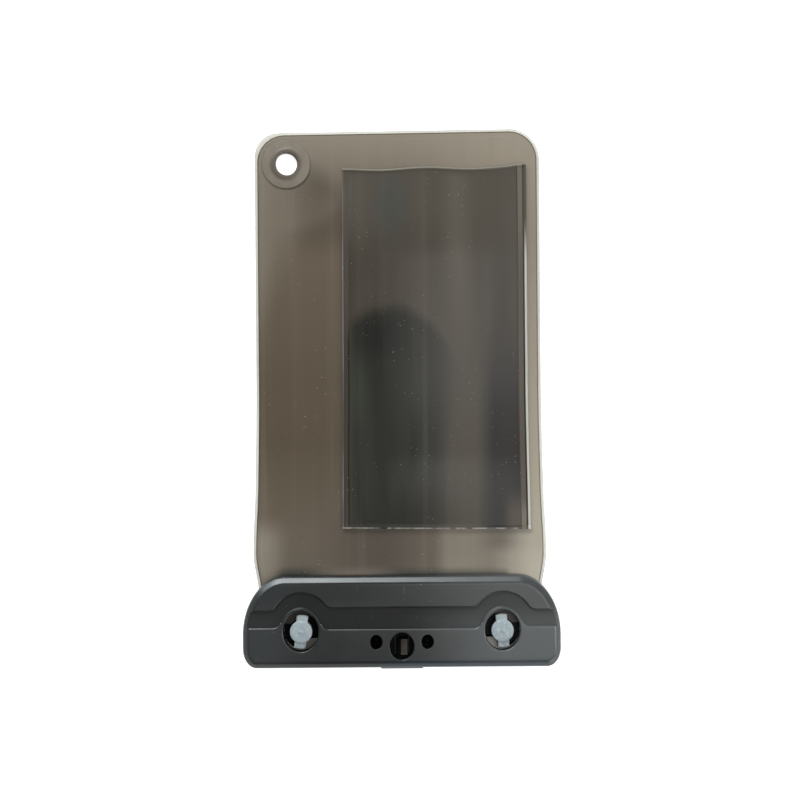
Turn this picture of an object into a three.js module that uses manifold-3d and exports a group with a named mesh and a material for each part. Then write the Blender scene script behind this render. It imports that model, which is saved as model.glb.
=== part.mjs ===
// A waterproof pouch for a phone, in millimetres, lying on its front as it would come to rest on a table.
// Two films, a clear one below and a smoke-tinted one above, are welded round their edge. A smoke pocket is
// welded on the tinted back, and an eyelet for a lanyard is in the corner. The mouth is pinched shut between
// two moulded bars, held by a snap in the middle and by a quarter-turn lock near each end.
// X runs along the clamp, Y from the clamp towards the eyelet end, Z up. The origin is on the table, under
// the middle of the object's box.
import * as THREE from "three";
import { mergeVertices } from "three/addons/utils/BufferGeometryUtils.js";
import Module from "manifold-3d";

const wasm = await Module();
wasm.setup();

// Films
const filmWidth = 110.4; // across the clear front film
const filmReach = 171.3; // from the clamp's upper edge to the far end, on the right
const endSkew = 1.1; // the far end is cut this much short on the left
const filmThickness = 0.5;
const filmGap = 0.2; // between a film and whatever it lies against
const filmLeftCorner = 9.3;
const filmRightCorner = 12;
const pouchShift = -0.5; // the films sit this far off the clamp's middle
const tintInset = 1.1; // the smoke film stops this far inside the clear one
const weldWidth = 2.2;
const throatInset = 1.6; // each side, where the films enter the clamp
const flareOut = 0.6; // each side, just past the clamp
const flareRise = 8.5;
const landing = 75; // length over which the films come down from the clamp to the table
const sagShare = 0.7; // how far the front film's middle hangs, as a share of its edges' height
const airHeight = 5.5; // trapped air lifts the back film by this
const airStart = 45; // length over which the air space opens out from the clamp
const airEnd = 40; // and closes towards the far end

// Pocket on the back
const pocketLeftMargin = 33.6; // from the films' left edge
const pocketRightMargin = 5.8;
const pocketFootMargin = 18.1; // from the clamp
const pocketHeadMargin = 14.9; // from the far end to the mean of its waves
const pocketPuff = 0.8;
const pocketOpening = 30; // length over which the puff opens up from the pocket's foot
const mouthWave = 0.85; // the pocket's open edge waves by this
const mouthWaveLength = 36;
const mouthWavePeak = 9.5;

// Eyelet
const eyeletInset = 12.2; // from the films' left edge and from their far end
const eyeletHoleRadius = 4.3;
const eyeletRimWidth = 4.8;
const eyeletDiscThickness = 0.8;
const eyeletFlat = 20; // the air space fades in over this distance from the disc

// Clamp bars
const barOverhang = 4.8; // each side, past the films
const barHeight = 34.5;
const shoulderWidth = 16; // the shoulders and the lower corners are quarter ellipses
const shoulderHeight = 22;
const footWidth = 5.2;
const footHeight = 7.2;
const barFillet = 3;
const rearBarThickness = 6.2;
const frontBarThickness = 7.5;
const partingGap = 0.3;
const bandBottom = 14.8;
const bandTop = 23;
const bandEndBottom = 15.4; // outside the locks the band is narrower
const bandEndTop = 21.9;
const bandDepth = 0.7;
const humpRadius = 11.5;
const humpRise = 3; // of the hump's centre above the lock hole's
const humpBlend = 3.5;
const bossRim = 1.1;
const bossBlend = 2.2;

// Sealing strips, and the stiff strips that hold each film in its bar
const channelSideGap = 1.9;
const filmTail = 2; // the films end this far past the sealing line
const sealWidth = 3;
const sealThickness = 1.1;
const sealInset = 9.5; // sealing line, from the bars' upper edge
const sealEndGap = 0.4;
const sealClearance = 0.15;
const keeperWidth = 2.4;
const keeperThickness = 1.35;
const keeperInset = 4.5; // from the bars' upper edge
const keeperLength = 96;

// Centre snap and locating pins
const snapAbove = 8.4;
const snapHoleWidth = 9.2;
const snapHoleHeight = 10.3;
const snapFloor = 2.4; // thickness of the wall that the snap catches
const snapPostWidth = 3.3;
const snapPostLength = 6.4;
const snapNose = 1.3;
const snapRise = 4.4; // post height above the front bar
const snapNoseHeight = 1.4;
const snapShift = 0.7;
const snapDrop = 0.6;
const snapClearance = 0.4;
const pinSpacing = 19.3;
const pinAbove = 10;
const pinHoleWidth = 4.6;
const pinHoleHeight = 5.4;
const pinRadius = 1.8;
const pinRise = 3;
const tabWidth = 17.9;
const tabReach = 1.6;
const tabTaper = 1.1;
const tabThickness = 3.5;

// Quarter-turn locks
const lockInset = 22.1; // from the bars' ends
const lockAbove = 13.85;
const lockHoleWidth = 13.3;
const lockHoleHeight = 15.3;
const lockHoleShift = 0.35;
const ledgeThickness = 2.8;
const wingReach = 6.4;
const wingWidth = 4.3;
const wingThickness = 1.8;
const headRadius = 4.2;
const headSink = 0.8; // below the rear bar's face
const headStep = 0.5; // of the head above its wings
const pipRadius = 0.6;
const shaftRadius = 2.8;
const collarRadius = 3.9;
const collarThickness = 0.8;
const runClearance = 0.3;
const slotClearance = 0.2;
const slotSide = 0.6; // beside the open wing
const ledgeHold = 25; // degrees of ledge past the locked wing
const openTurn = 90; // degrees
const lockLean = 5; // degrees short of locked, as the locks stand
const dialRadius = 9.5;
const dialProud = 2; // below the front bar's face
const dialThickness = 3.3;
const gripRise = 1.4;
const gripLength = 17;
const gripWidth = 6.6;
const tenonSide = 3.8;
const tenonLength = 1.7;
const lugRadius = 0.8;
const lugRing = 7.6;
const lugRise = 1.2;
const ringRadius = 5.2;
const ringSection = 0.6;
const screwHeadRadius = 1.9;
const screwHeadHeight = 0.7;
const screwShankRadius = 1;
const screwLength = 7;
const screwSink = 0.15;
const crossWidth = 0.5;
const crossDepth = 0.4;

// How finely round things are drawn
const arcSteps = 8;
const roundSteps = 28;
const filmCellsAcross = 12;
const filmCellsAlong = 20;

// Levels and places that follow from the sizes above
const barWidth = filmWidth + 2 * barOverhang;
const frontFaceZ = dialProud;
const frontInnerZ = frontFaceZ + frontBarThickness;
const rearInnerZ = frontInnerZ + partingGap;
const rearFaceZ = rearInnerZ + rearBarThickness;
const channelFloorZ = rearInnerZ - 2 * filmThickness - 3 * filmGap;
const gripZ = channelFloorZ + filmGap; // the front film's underside in the clamp
const filmEnd = barHeight + filmReach;
const throatHalf = filmWidth / 2 - throatInset;
const channelHalf = throatHalf + channelSideGap;
const sealAbove = barHeight - sealInset;
const keeperAbove = barHeight - keeperInset;
const mouthY = sealAbove - sealWidth / 2 - filmTail;
const lockX = barWidth / 2 - lockInset;
const lockHoleAbove = lockAbove + lockHoleShift;
const ledgeZ = rearInnerZ + ledgeThickness;
const wingZ = ledgeZ + runClearance;
const recessFloorZ = dialThickness + runClearance;
const overallLength = filmEnd + tabReach;
const originShift = tabReach - overallLength / 2;

// Solids from three.js geometry, joined and cut, and back again
function solidOf(geometry) {
  const bare = geometry.clone();
  bare.deleteAttribute("normal");
  bare.deleteAttribute("uv");
  const merged = mergeVertices(bare, 1e-4);
  const vertProperties = new Float32Array(merged.attributes.position.array);
  const triVerts = new Uint32Array(merged.index.array);
  return new wasm.Manifold(new wasm.Mesh({ numProp: 3, vertProperties, triVerts }));
}

function pieceOf(name, solid, material) {
  const mesh = solid.getMesh();
  const geometry = new THREE.BufferGeometry();
  geometry.setAttribute("position", new THREE.BufferAttribute(mesh.vertProperties, 3));
  geometry.setIndex(new THREE.BufferAttribute(mesh.triVerts, 1));
  geometry.computeVertexNormals();
  const piece = new THREE.Mesh(geometry, material);
  piece.name = name;
  return piece;
}

function prism(shape, bottom, top, steps = arcSteps) {
  const depth = top - bottom;
  const geometry = new THREE.ExtrudeGeometry(shape, { depth, bevelEnabled: false, curveSegments: steps });
  return solidOf(geometry.translate(0, 0, bottom));
}

function block(x0, x1, y0, y1, z0, z1) {
  const geometry = new THREE.BoxGeometry(x1 - x0, y1 - y0, z1 - z0);
  return solidOf(geometry.translate((x0 + x1) / 2, (y0 + y1) / 2, (z0 + z1) / 2));
}

// A profile of [radius, height] from the axis at the bottom to the axis at the top, turned about Z
function turned(profile, x = 0, y = 0, steps = roundSteps) {
  const points = profile.map(([radius, height]) => new THREE.Vector2(radius, height));
  const geometry = new THREE.LatheGeometry(points, steps).rotateX(Math.PI / 2);
  return solidOf(geometry.translate(x, y, 0));
}

function rod(radius, bottom, top, x = 0, y = 0, steps = roundSteps) {
  return turned([[0, bottom], [radius, bottom], [radius, top], [0, top]], x, y, steps);
}

function oval(width, height, x, y) {
  return new THREE.Shape().absellipse(x, y, width / 2, height / 2, 0, 2 * Math.PI);
}

// A sector about a centre, in degrees from +X on the left lock and mirrored on the right one
function sector(inner, outer, from, to, side, x, y) {
  const points = [];
  const place = (radius, degrees) => {
    const angle = THREE.MathUtils.degToRad(degrees);
    points.push(new THREE.Vector2(x + side * radius * Math.cos(angle), y + radius * Math.sin(angle)));
  };
  for (let i = 0; i <= arcSteps; i++) place(outer, from + ((to - from) * i) / arcSteps);
  if (inner > 0) for (let i = 0; i <= arcSteps; i++) place(inner, to + ((from - to) * i) / arcSteps);
  else points.push(new THREE.Vector2(x, y));
  return new THREE.Shape(points);
}

const material = (color, roughness, opacity = 1) =>
  new THREE.MeshStandardMaterial({ color, roughness, metalness: 0, opacity, transparent: opacity < 1 });
const smokeFilm = material(0x6e6659, 0.22, 0.7);
const clearFilm = material(0xdcdcd2, 0.15, 0.3);
const blackPlastic = material(0x26292b, 0.42);
const greyPlastic = material(0x93a1a6, 0.5);
const sealRubber = material(0x3a3d3f, 0.8);
const keeperPlastic = material(0xb9b6aa, 0.5);
const steel = new THREE.MeshStandardMaterial({ color: 0xb8babc, roughness: 0.35, metalness: 1 });

// The outline both bars share: wide shoulders towards the films, tighter corners at the foot
function barOutline() {
  const half = barWidth / 2;
  const shape = new THREE.Shape();
  const shoulderY = barHeight - shoulderHeight;
  const corner = (x, y, width, height, from) =>
    shape.absellipse(x, y, width, height, from, from + Math.PI / 2);
  shape.moveTo(footWidth - half, 0);
  corner(half - footWidth, footHeight, footWidth, footHeight, -Math.PI / 2);
  corner(half - shoulderWidth, shoulderY, shoulderWidth, shoulderHeight, 0);
  corner(shoulderWidth - half, shoulderY, shoulderWidth, shoulderHeight, Math.PI / 2);
  corner(footWidth - half, footHeight, footWidth, footHeight, Math.PI);
  return shape;
}

// A bar with its outer edge rounded: extruded with rounded edges on both faces, then the inner one is cut off
function barBody(faceZ, innerZ) {
  const up = Math.sign(faceZ - innerZ);
  const geometry = new THREE.ExtrudeGeometry(barOutline(), {
    depth: Math.abs(faceZ - innerZ),
    bevelThickness: barFillet,
    bevelSize: barFillet,
    bevelOffset: -barFillet,
    bevelSegments: 4,
    curveSegments: arcSteps,
  });
  geometry.translate(0, 0, up > 0 ? innerZ - barFillet : faceZ + barFillet);
  const half = barWidth / 2;
  const keep = [innerZ, faceZ].sort((a, b) => a - b);
  return solidOf(geometry).intersect(block(-half, half, 0, barHeight, keep[0], keep[1]));
}

// The groove along the rear bar's face, which humps over each lock and leaves a rim round its hole
function bandShape() {
  const reach = barWidth;
  const humpY = lockHoleAbove + humpRise;
  // The blend between a straight stretch of the upper edge and a hump: its distance beside the hump's centre
  // and the angle at which the two arcs meet
  const blend = (edge) => {
    const rise = edge + humpBlend - humpY;
    const beside = Math.sqrt((humpRadius + humpBlend) ** 2 - rise ** 2);
    return { beside, y: edge + humpBlend, meet: Math.atan2(rise, beside) };
  };
  const rimX = lockHoleWidth / 2 + bossRim;
  const rimY = lockHoleHeight / 2 + bossRim;
  const rimFrom = Math.PI / 8;
  const shape = new THREE.Shape();
  shape.moveTo(-reach, bandEndTop);
  const upperEdges = [[-lockX, bandEndTop, bandTop], [lockX, bandTop, bandEndTop]];
  for (const [x, before, after] of upperEdges) {
    const rising = blend(before);
    const falling = blend(after);
    shape.absarc(x - rising.beside, rising.y, humpBlend, -Math.PI / 2, -rising.meet, false);
    shape.absarc(x, humpY, humpRadius, Math.PI - rising.meet, falling.meet, true);
    shape.absarc(x + falling.beside, falling.y, humpBlend, Math.PI + falling.meet, 1.5 * Math.PI, false);
  }
  shape.lineTo(reach, bandEndTop);
  shape.lineTo(reach, bandEndBottom);
  const lowerEdges = [[lockX, bandEndBottom, bandBottom], [-lockX, bandBottom, bandEndBottom]];
  for (const [x, before, after] of lowerEdges) {
    const rimEdge = new THREE.Vector2(rimX * Math.cos(rimFrom), lockHoleAbove + rimY * Math.sin(rimFrom));
    shape.lineTo(x + rimX + bossBlend, before);
    shape.quadraticCurveTo(x + rimX, before, x + rimEdge.x, rimEdge.y);
    shape.absellipse(x, lockHoleAbove, rimX, rimY, rimFrom, Math.PI - rimFrom, false);
    shape.quadraticCurveTo(x - rimX, after, x - rimX - bossBlend, after);
  }
  shape.lineTo(-reach, bandEndBottom);
  return shape;
}

// A straight groove along X for a strip, open at the bar's inner face
function stripGroove(length, width, above, z0, z1) {
  const half = length / 2 + runClearance;
  return block(-half, half, above - width / 2 - slotClearance, above + width / 2 + slotClearance, z0, z1);
}

const sealLength = 2 * (channelHalf - sealEndGap);
const sealDeep = sealThickness - sealClearance + filmGap;
const keeperDeep = keeperThickness - sealClearance + filmGap;
const snapX = snapShift - snapPostWidth / 2;
const snapHeadZ = rearInnerZ + snapFloor + runClearance;
const snapHead = { x0: snapX - snapNose, x1: snapX + snapPostWidth, z: snapHeadZ };
const snapY0 = snapAbove - snapDrop - snapPostLength / 2;
const snapY1 = snapY0 + snapPostLength;

function rearBar() {
  let solid = barBody(rearFaceZ, rearInnerZ);
  const above = rearFaceZ + 1;
  const below = rearInnerZ - 1;
  solid = solid.subtract(prism(bandShape(), rearFaceZ - bandDepth, above));
  for (const side of [1, -1]) {
    const x = -side * lockX;
    solid = solid.subtract(prism(oval(lockHoleWidth, lockHoleHeight, x, lockHoleAbove), ledgeZ, above));
    solid = solid.subtract(rod(headRadius + runClearance, below, ledgeZ + 1, x, lockAbove));
    const slotReach = wingReach + slotClearance;
    for (const start of [0, 180]) {
      const slot = sector(0, slotReach, start, start + openTurn - ledgeHold, side, x, lockAbove);
      solid = solid.subtract(prism(slot, below, ledgeZ + 1));
    }
    const slotHalf = wingWidth / 2 + slotSide;
    const slotY = [lockAbove - slotHalf, lockAbove + slotHalf];
    const openWing = block(x - slotReach, x + slotReach, ...slotY, below, ledgeZ + 1);
    solid = solid.subtract(openWing.intersect(rod(slotReach, below - 1, ledgeZ + 2, x, lockAbove)));
    const pinHole = oval(pinHoleWidth, pinHoleHeight, (side * pinSpacing) / 2, pinAbove);
    solid = solid.subtract(prism(pinHole, below, above));
  }
  const snapFloorZ = rearInnerZ + snapFloor;
  solid = solid.subtract(prism(oval(snapHoleWidth, snapHoleHeight, 0, snapAbove), snapFloorZ, above));
  const slotX0 = snapX - snapClearance;
  const slotX1 = snapHead.x1 + snapClearance;
  const slotY = [snapY0 - snapClearance, snapY1 + snapClearance];
  const snapSlot = block(slotX0, slotX1, ...slotY, below, snapFloorZ + 1);
  solid = solid.subtract(snapSlot);
  solid = solid.subtract(stripGroove(sealLength, sealWidth, sealAbove, below, rearInnerZ + sealDeep));
  return solid.subtract(stripGroove(keeperLength, keeperWidth, keeperAbove, below, rearInnerZ + keeperDeep));
}

function snapPost() {
  const top = frontInnerZ + snapRise;
  const root = frontInnerZ - 1;
  const profile = new THREE.Shape([
    new THREE.Vector2(snapX, root),
    new THREE.Vector2(snapHead.x1, root),
    new THREE.Vector2(snapHead.x1, top),
    new THREE.Vector2(snapX + snapNose / 2, top),
    new THREE.Vector2(snapHead.x0, Math.max(top - snapNoseHeight, snapHead.z + runClearance)),
    new THREE.Vector2(snapHead.x0, snapHead.z),
    new THREE.Vector2(snapX, snapHead.z),
  ]);
  const geometry = new THREE.ExtrudeGeometry(profile, { depth: snapPostLength, bevelEnabled: false });
  return solidOf(geometry.rotateX(Math.PI / 2).translate(0, snapY1, 0));
}

function thumbTab() {
  const half = tabWidth / 2;
  const root = barFillet;
  const shape = new THREE.Shape([
    new THREE.Vector2(-half, root),
    new THREE.Vector2(-half, 0),
    new THREE.Vector2(tabTaper - half, -tabReach),
    new THREE.Vector2(half - tabTaper, -tabReach),
    new THREE.Vector2(half, 0),
    new THREE.Vector2(half, root),
  ]);
  return prism(shape, frontInnerZ - tabThickness, frontInnerZ);
}

function frontBar() {
  let solid = barBody(frontFaceZ, frontInnerZ).add(thumbTab()).add(snapPost());
  const above = frontInnerZ + 1;
  const below = frontFaceZ - 1;
  const tip = pinRadius / 3;
  for (const side of [1, -1]) {
    const pinX = (side * pinSpacing) / 2;
    const pinTop = frontInnerZ + pinRise;
    const pinProfile = [[0, frontInnerZ - 1], [pinRadius, frontInnerZ - 1], [pinRadius, pinTop - tip]];
    solid = solid.add(turned([...pinProfile, [pinRadius - tip, pinTop], [0, pinTop]], pinX, pinAbove));
    const x = -side * lockX;
    solid = solid.subtract(rod(dialRadius + runClearance, below, recessFloorZ, x, lockAbove));
    solid = solid.subtract(rod(shaftRadius + runClearance, below, above, x, lockAbove));
    const room = lugRadius + slotClearance;
    const spread = THREE.MathUtils.radToDeg(room / (lugRing - room));
    const lugSlot = sector(lugRing - room, lugRing + room, -openTurn - spread, spread, side, x, lockAbove);
    solid = solid.subtract(prism(lugSlot, below, recessFloorZ - runClearance + lugRise + slotClearance));
  }
  const channelStart = mouthY - slotClearance;
  solid = solid.subtract(block(-channelHalf, channelHalf, channelStart, barHeight + 1, channelFloorZ, above));
  const keeperFloorZ = channelFloorZ - keeperDeep;
  solid = solid.subtract(stripGroove(sealLength, sealWidth, sealAbove, channelFloorZ - sealDeep, above));
  return solid.subtract(stripGroove(keeperLength, keeperWidth, keeperAbove, keeperFloorZ, above));
}

// A strip of rubber whose face towards the films is crowned
function sealStrip(baseZ, faceZ) {
  const half = sealWidth / 2;
  const shoulder = faceZ + (baseZ - faceZ) / 3;
  const profile = new THREE.Shape();
  profile.moveTo(-half, baseZ);
  profile.lineTo(-half, shoulder);
  profile.quadraticCurveTo(-half / 2, faceZ, 0, faceZ);
  profile.quadraticCurveTo(half / 2, faceZ, half, shoulder);
  profile.lineTo(half, baseZ);
  const options = { depth: sealLength, bevelEnabled: false, curveSegments: 4 };
  const geometry = new THREE.ExtrudeGeometry(profile, options);
  geometry.rotateX(Math.PI / 2).rotateZ(Math.PI / 2);
  return solidOf(geometry.translate(-sealLength / 2, sealAbove, 0));
}

function keeperStrip(z0, z1) {
  const half = keeperLength / 2;
  return block(-half, half, keeperAbove - keeperWidth / 2, keeperAbove + keeperWidth / 2, z0, z1);
}

// A lock's pieces are built about its own axis. The key is a winged head that turns over the rear bar's
// ledges, on a shaft through the front bar
function lockKey() {
  const headTop = rearFaceZ - headSink;
  const headBottom = wingZ;
  const shaftBottom = dialThickness + runClearance;
  const collarZ = frontInnerZ + runClearance;
  const round = headStep / 2;
  let solid = turned(
    [
      [0, shaftBottom],
      [shaftRadius, shaftBottom],
      [shaftRadius, collarZ],
      [collarRadius, collarZ],
      [collarRadius, collarZ + collarThickness],
      [shaftRadius, collarZ + collarThickness],
      [shaftRadius, headBottom],
      [headRadius, headBottom],
      [headRadius, headTop - round],
      [headRadius - round, headTop],
      [pipRadius, headTop],
      [0, headTop + pipRadius / 3],
    ],
  );
  const flank = Math.asin(wingWidth / 2 / wingReach);
  const wings = new THREE.Shape();
  wings.absarc(0, 0, wingReach, Math.PI / 2 - flank, Math.PI / 2 + flank);
  wings.absarc(0, 0, wingReach, 1.5 * Math.PI - flank, 1.5 * Math.PI + flank);
  solid = solid.add(prism(wings, wingZ, wingZ + wingThickness));
  const half = tenonSide / 2;
  solid = solid.add(block(-half, half, -half, half, shaftBottom - tenonLength, shaftBottom + 1));
  const pilotTop = screwSink + screwLength + runClearance;
  return solid.subtract(rod(screwShankRadius + slotClearance, 0, pilotTop, 0, 0, arcSteps * 2));
}

// The dial that turns the key: a disc in the front bar's recess, with a finger grip across its face
function lockDial(side) {
  const edge = gripRise / 4;
  const discTop = dialThickness;
  const rim = [[dialRadius - edge, gripRise], [dialRadius, gripRise + edge], [dialRadius, discTop]];
  let solid = turned([[0, gripRise], ...rim, [0, discTop]]);
  const end = gripWidth / 2;
  const straight = gripLength / 2 - end;
  const grip = new THREE.Shape();
  grip.absarc(straight, 0, end, -Math.PI / 2, Math.PI / 2);
  grip.absarc(-straight, 0, end, Math.PI / 2, 1.5 * Math.PI);
  solid = solid.add(prism(grip, 0, gripRise + edge));
  solid = solid.add(rod(lugRadius, discTop - 1, discTop + lugRise, side * lugRing, 0, arcSteps * 2));
  const socket = tenonSide / 2 + slotClearance;
  const socketFloor = recessFloorZ - tenonLength - slotClearance;
  solid = solid.subtract(block(-socket, socket, -socket, socket, socketFloor, discTop + 1));
  const seat = screwSink + screwHeadHeight + slotClearance;
  solid = solid.subtract(rod(screwHeadRadius + slotClearance, -1, seat));
  solid = solid.subtract(rod(screwShankRadius + slotClearance, -1, discTop, 0, 0, arcSteps * 2));
  const grooveOuter = ringRadius + ringSection + slotClearance;
  const grooveInner = ringRadius - ringSection - slotClearance;
  const grooveFloor = recessFloorZ - 2 * ringSection - slotClearance;
  const groove = rod(grooveOuter, grooveFloor, discTop + 1).subtract(rod(grooveInner, 0, discTop + 2));
  return solid.subtract(groove);
}

function frictionRing() {
  const geometry = new THREE.TorusGeometry(ringRadius, ringSection, arcSteps, roundSteps);
  return solidOf(geometry.translate(0, 0, recessFloorZ - slotClearance / 2 - ringSection));
}

function dialScrew() {
  const headTop = screwSink + screwHeadHeight;
  const tip = screwSink + screwLength;
  let solid = turned(
    [
      [0, screwSink],
      [screwHeadRadius * 0.8, screwSink],
      [screwHeadRadius, headTop - screwHeadHeight / 3],
      [screwHeadRadius, headTop],
      [screwShankRadius, headTop],
      [screwShankRadius, tip - screwShankRadius],
      [0, tip],
    ],
    0,
    0,
    arcSteps * 2,
  );
  const arm = screwHeadRadius * 0.6;
  const half = crossWidth / 2;
  const deep = screwSink + crossDepth;
  solid = solid.subtract(block(-arm, arm, -half, half, -1, deep));
  return solid.subtract(block(-half, half, -arm, arm, -1, deep));
}

// The films' shape in space. Heights are of a film's underside, at a point of the plan
const ease = (share) => {
  const t = Math.min(1, Math.max(0, share));
  return t * t * (3 - 2 * t);
};
const farEdge = (x) => filmEnd + (endSkew * (x - filmWidth / 2)) / filmWidth;
const eyelet = { x: eyeletInset - filmWidth / 2, y: filmEnd - endSkew - eyeletInset };
const arch = (x) => Math.max(0, 1 - (x / (filmWidth / 2 - weldWidth)) ** 2);

function edgeHeight(y) {
  return gripZ * (1 - ease((y - barHeight) / landing));
}

function frontFilmHeight(x, y) {
  const hang = sagShare * ease((y - barHeight) / (landing / 2)) * arch(x);
  return edgeHeight(y) * (1 - hang);
}

function backFilmHeight(x, y) {
  const opened = ease((y - barHeight) / airStart) * ease((filmEnd - weldWidth - y) / airEnd);
  const fromEyelet = Math.hypot(x - eyelet.x, y - eyelet.y) - eyeletHoleRadius - eyeletRimWidth;
  const air = airHeight * opened * arch(x) * ease(fromEyelet / eyeletFlat);
  return edgeHeight(y) + filmThickness + filmGap + air;
}

const pocket = {
  left: pocketLeftMargin - filmWidth / 2,
  right: filmWidth / 2 - pocketRightMargin,
  foot: barHeight + pocketFootMargin,
};

function pocketHeight(x, y) {
  const share = (2 * x - pocket.left - pocket.right) / (pocket.right - pocket.left);
  const across = Math.max(0, 1 - share ** 2);
  const puff = pocketPuff * across * ease((y - pocket.foot) / pocketOpening);
  return backFilmHeight(x, y) + filmThickness + filmGap + puff;
}

// A sheet of film: a flat box of cells whose two faces are lifted to a height, then cut to an outline
function filmSheet(height, outline) {
  const width = filmWidth + 2 * flareOut + 2;
  const length = filmEnd - mouthY + 2;
  const geometry = new THREE.BoxGeometry(width, length, filmThickness, filmCellsAcross, filmCellsAlong, 1);
  geometry.translate(0, mouthY - 1 + length / 2, filmThickness / 2);
  const points = geometry.attributes.position;
  for (let i = 0; i < points.count; i++) {
    points.setZ(i, points.getZ(i) + height(points.getX(i), points.getY(i)));
  }
  const tall = rearFaceZ + airHeight + pocketPuff + 1;
  return solidOf(geometry).intersect(prism(outline, -1, tall));
}

function pouchOutline(inset) {
  const half = filmWidth / 2 - inset;
  const throat = throatHalf - inset;
  const leftEnd = filmEnd - endSkew - inset;
  const rightEnd = filmEnd - inset;
  const leftCorner = filmLeftCorner - inset;
  const rightCorner = filmRightCorner - inset;
  const flareY = barHeight + flareRise;
  const rise = [
    [throat, mouthY],
    [throat, barHeight - flareRise],
    [half + flareOut, flareY],
    [half, flareY + 3 * flareRise],
  ];
  const at = (side) => rise.map(([x, y]) => new THREE.Vector2(side * x, y));
  const shape = new THREE.Shape();
  shape.moveTo(-throat, mouthY);
  shape.lineTo(throat, mouthY);
  shape.splineThru(at(1).slice(1));
  shape.absarc(half - rightCorner, rightEnd - rightCorner, rightCorner, 0, Math.PI / 2);
  shape.absarc(leftCorner - half, leftEnd - leftCorner, leftCorner, Math.PI / 2, Math.PI);
  shape.lineTo(...at(-1)[3].toArray());
  shape.splineThru(at(-1).slice(0, 3).reverse());
  const hole = new THREE.Path();
  hole.absarc(eyelet.x, eyelet.y, eyeletHoleRadius, 0, 2 * Math.PI);
  shape.holes.push(hole);
  return shape;
}

// The pocket is closed down both sides and along its foot, and its open edge waves
function pocketOutline() {
  const wave = (x) => mouthWave * Math.cos((2 * Math.PI * (x - mouthWavePeak)) / mouthWaveLength);
  const mouth = (x) => farEdge(x) - pocketHeadMargin + wave(x);
  const shape = new THREE.Shape();
  shape.moveTo(pocket.left, pocket.foot);
  shape.lineTo(pocket.right, pocket.foot);
  const steps = 2 * arcSteps;
  for (let i = 0; i <= steps; i++) {
    const x = pocket.right + ((pocket.left - pocket.right) * i) / steps;
    shape.lineTo(x, mouth(x));
  }
  return shape;
}

function eyeletDisc() {
  const z = backFilmHeight(eyelet.x, eyelet.y) + filmThickness + filmGap;
  const top = z + eyeletDiscThickness;
  const disc = rod(eyeletHoleRadius + eyeletRimWidth, z, top, eyelet.x, eyelet.y);
  return disc.subtract(rod(eyeletHoleRadius, z - 1, top + 1, eyelet.x, eyelet.y));
}

// Putting it together
const pouch = new THREE.Group();
pouch.position.set(pouchShift, originShift, 0);
pouch.add(pieceOf("front_film", filmSheet(frontFilmHeight, pouchOutline(0)), clearFilm));
pouch.add(pieceOf("back_film", filmSheet(backFilmHeight, pouchOutline(tintInset)), smokeFilm));
pouch.add(pieceOf("pocket_film", filmSheet(pocketHeight, pocketOutline()), smokeFilm));
pouch.add(pieceOf("eyelet_disc", eyeletDisc(), smokeFilm));

const clamp = new THREE.Group();
clamp.position.y = originShift;
clamp.add(pieceOf("rear_bar", rearBar(), blackPlastic));
clamp.add(pieceOf("front_bar", frontBar(), blackPlastic));
const rearSealFace = rearInnerZ - filmGap + sealClearance;
const frontSealFace = channelFloorZ + filmGap - sealClearance;
clamp.add(pieceOf("rear_seal", sealStrip(rearSealFace + sealThickness, rearSealFace), sealRubber));
clamp.add(pieceOf("front_seal", sealStrip(frontSealFace - sealThickness, frontSealFace), sealRubber));
const rearKeeper = keeperStrip(rearSealFace, rearSealFace + keeperThickness);
const frontKeeper = keeperStrip(frontSealFace - keeperThickness, frontSealFace);
clamp.add(pieceOf("rear_keeper", rearKeeper, keeperPlastic));
clamp.add(pieceOf("front_keeper", frontKeeper, keeperPlastic));

for (const [name, side] of [["left_lock", 1], ["right_lock", -1]]) {
  const lock = new THREE.Group();
  lock.position.set(-side * lockX, lockAbove, 0);
  lock.rotation.z = -side * THREE.MathUtils.degToRad(lockLean);
  lock.add(pieceOf(`${name}_key`, lockKey(), greyPlastic));
  lock.add(pieceOf(`${name}_dial`, lockDial(side), greyPlastic));
  lock.add(pieceOf(`${name}_ring`, frictionRing(), sealRubber));
  lock.add(pieceOf(`${name}_screw`, dialScrew(), steel));
  clamp.add(lock);
}

const waterproofCase = new THREE.Group();
waterproofCase.add(pouch, clamp);
export default waterproofCase;
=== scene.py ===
# A waterproof pouch for a phone, lying on its front on a table, with its mouth pinched shut in a black clamp.
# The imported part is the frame. Each new piece is made where its own solid is, in metres.
from math import asin, cos, degrees, hypot, pi, radians, sin, sqrt

import bmesh
import bpy
from mathutils import Matrix, Vector, noise


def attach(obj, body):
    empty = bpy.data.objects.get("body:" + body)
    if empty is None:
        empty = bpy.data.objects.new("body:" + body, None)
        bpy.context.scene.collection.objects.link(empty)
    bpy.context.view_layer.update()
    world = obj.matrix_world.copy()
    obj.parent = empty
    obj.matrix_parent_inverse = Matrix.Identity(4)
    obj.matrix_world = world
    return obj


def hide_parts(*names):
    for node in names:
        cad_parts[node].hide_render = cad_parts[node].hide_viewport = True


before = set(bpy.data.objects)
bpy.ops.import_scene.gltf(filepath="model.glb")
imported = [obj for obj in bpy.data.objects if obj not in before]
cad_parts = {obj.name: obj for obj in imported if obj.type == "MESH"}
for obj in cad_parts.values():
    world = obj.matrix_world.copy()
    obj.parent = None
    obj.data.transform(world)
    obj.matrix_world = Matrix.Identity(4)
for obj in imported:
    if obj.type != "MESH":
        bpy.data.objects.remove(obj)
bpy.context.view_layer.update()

# The view: a camera straight above the case, 450 mm over the table, turned by the half degree that the case
# lies askew.
camera = bpy.data.objects.new("camera", bpy.data.cameras.new("camera"))
camera.data.sensor_width = 36
camera.data.lens = 52.1
camera.data.clip_start = 0.01
camera.location = (0, -0.0013, 0.45)
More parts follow.
